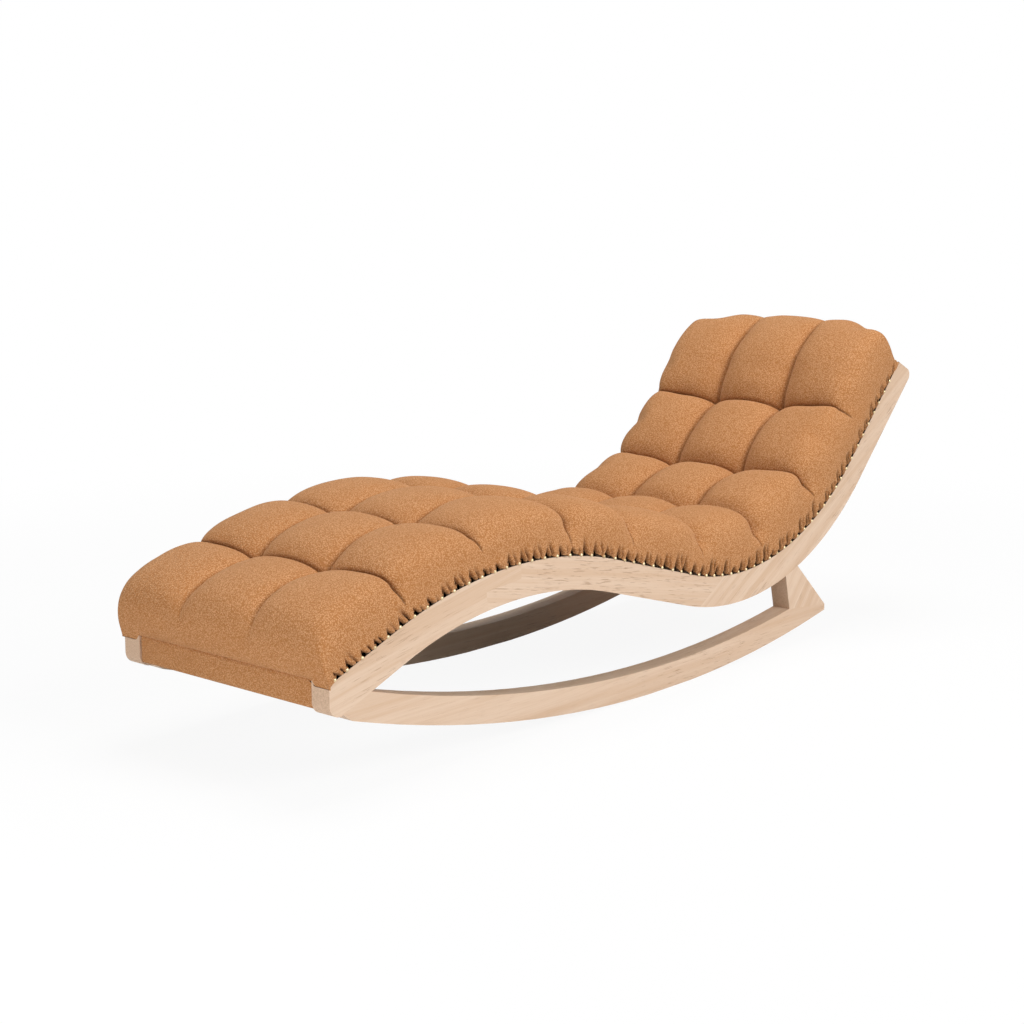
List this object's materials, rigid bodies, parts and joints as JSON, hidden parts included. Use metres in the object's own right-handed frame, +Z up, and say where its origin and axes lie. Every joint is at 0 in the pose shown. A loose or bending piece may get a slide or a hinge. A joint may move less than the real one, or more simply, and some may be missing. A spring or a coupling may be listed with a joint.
{
  "type": "rocking chaise lounge",
  "caption": "Rocking chaise lounge: S-curved oak side rails on long curved rockers with wedge rear posts, carrying a thick tufted fabric pad from foot to head.",
  "frame": {"origin": "on the floor, at the middle of the overall width and length, with the rockers standing on their lowest line", "axes": "+Y along the length from the foot towards the raised head, +Z up, +X to the right seen from the foot"},
  "size_m": [0.5674, 1.9804, 0.7143],
  "materials": {
    "oak": "matte, pale natural oak",
    "inner_wood": "planed, unfinished",
    "dowel_wood": "fluted hardwood",
    "pad_cover": "nubby woven, caramel",
    "dust_cloth": "thin non-woven, black",
    "hessian_cloth": "open plain weave",
    "webbing": "jute twill tape",
    "twine": "waxed twine",
    "foam": "open-cell foam",
    "nail_metal": "polished, pale champagne",
    "steel": "zinc plated"
  },
  "bodies": {
    "root": {"back_stretcher": "inner_wood", "corner_block_screws": "steel", "corner_blocks": "inner_wood", "cover_edge_left": "pad_cover", "cover_edge_right": "pad_cover", "cross_rail_dowels": "dowel_wood", "dust_cover": "dust_cloth", "foam_core": "foam", "foot_border": "pad_cover", "foot_cross_rail": "inner_wood", "head_border": "pad_cover", "head_cross_rail": "inner_wood", "hessian": "hessian_cloth", "knee_stretcher": "inner_wood", "nail_row_left": "nail_metal", "nail_row_right": "nail_metal", "outside_back_panel": "pad_cover", "pad_row_1": "pad_cover", "pad_row_2": "pad_cover", "pad_row_3": "pad_cover", "pad_row_4": "pad_cover", "pad_row_5": "pad_cover", "pad_row_6": "pad_cover", "pad_row_7": "pad_cover", "pad_row_8": "pad_cover", "pad_row_9": "pad_cover", "post_dowels": "dowel_wood", "rail_joint_dowels": "dowel_wood", "rear_post_left": "oak", "rear_post_right": "oak", "rocker_left": "oak", "rocker_right": "oak", "scarf_screws": "steel", "screw_plugs": "oak", "seat_stretcher": "inner_wood", "side_rail_back_left": "oak", "side_rail_back_right": "oak", "side_rail_foot_left": "oak", "side_rail_foot_right": "oak", "side_rail_seat_left": "oak", "side_rail_seat_right": "oak", "tuft_ties": "twine", "webbing_strap_01": "webbing", "webbing_strap_02": "webbing", "webbing_strap_03": "webbing", "webbing_strap_04": "webbing", "webbing_strap_05": "webbing", "webbing_strap_06": "webbing", "webbing_strap_07": "webbing", "webbing_strap_08": "webbing", "webbing_strap_09": "webbing", "webbing_strap_10": "webbing", "webbing_strap_11": "webbing", "webbing_strap_12": "webbing", "webbing_strap_13": "webbing", "webbing_strap_14": "webbing", "webbing_tacks": "steel"}
  },
  "joints": []
}
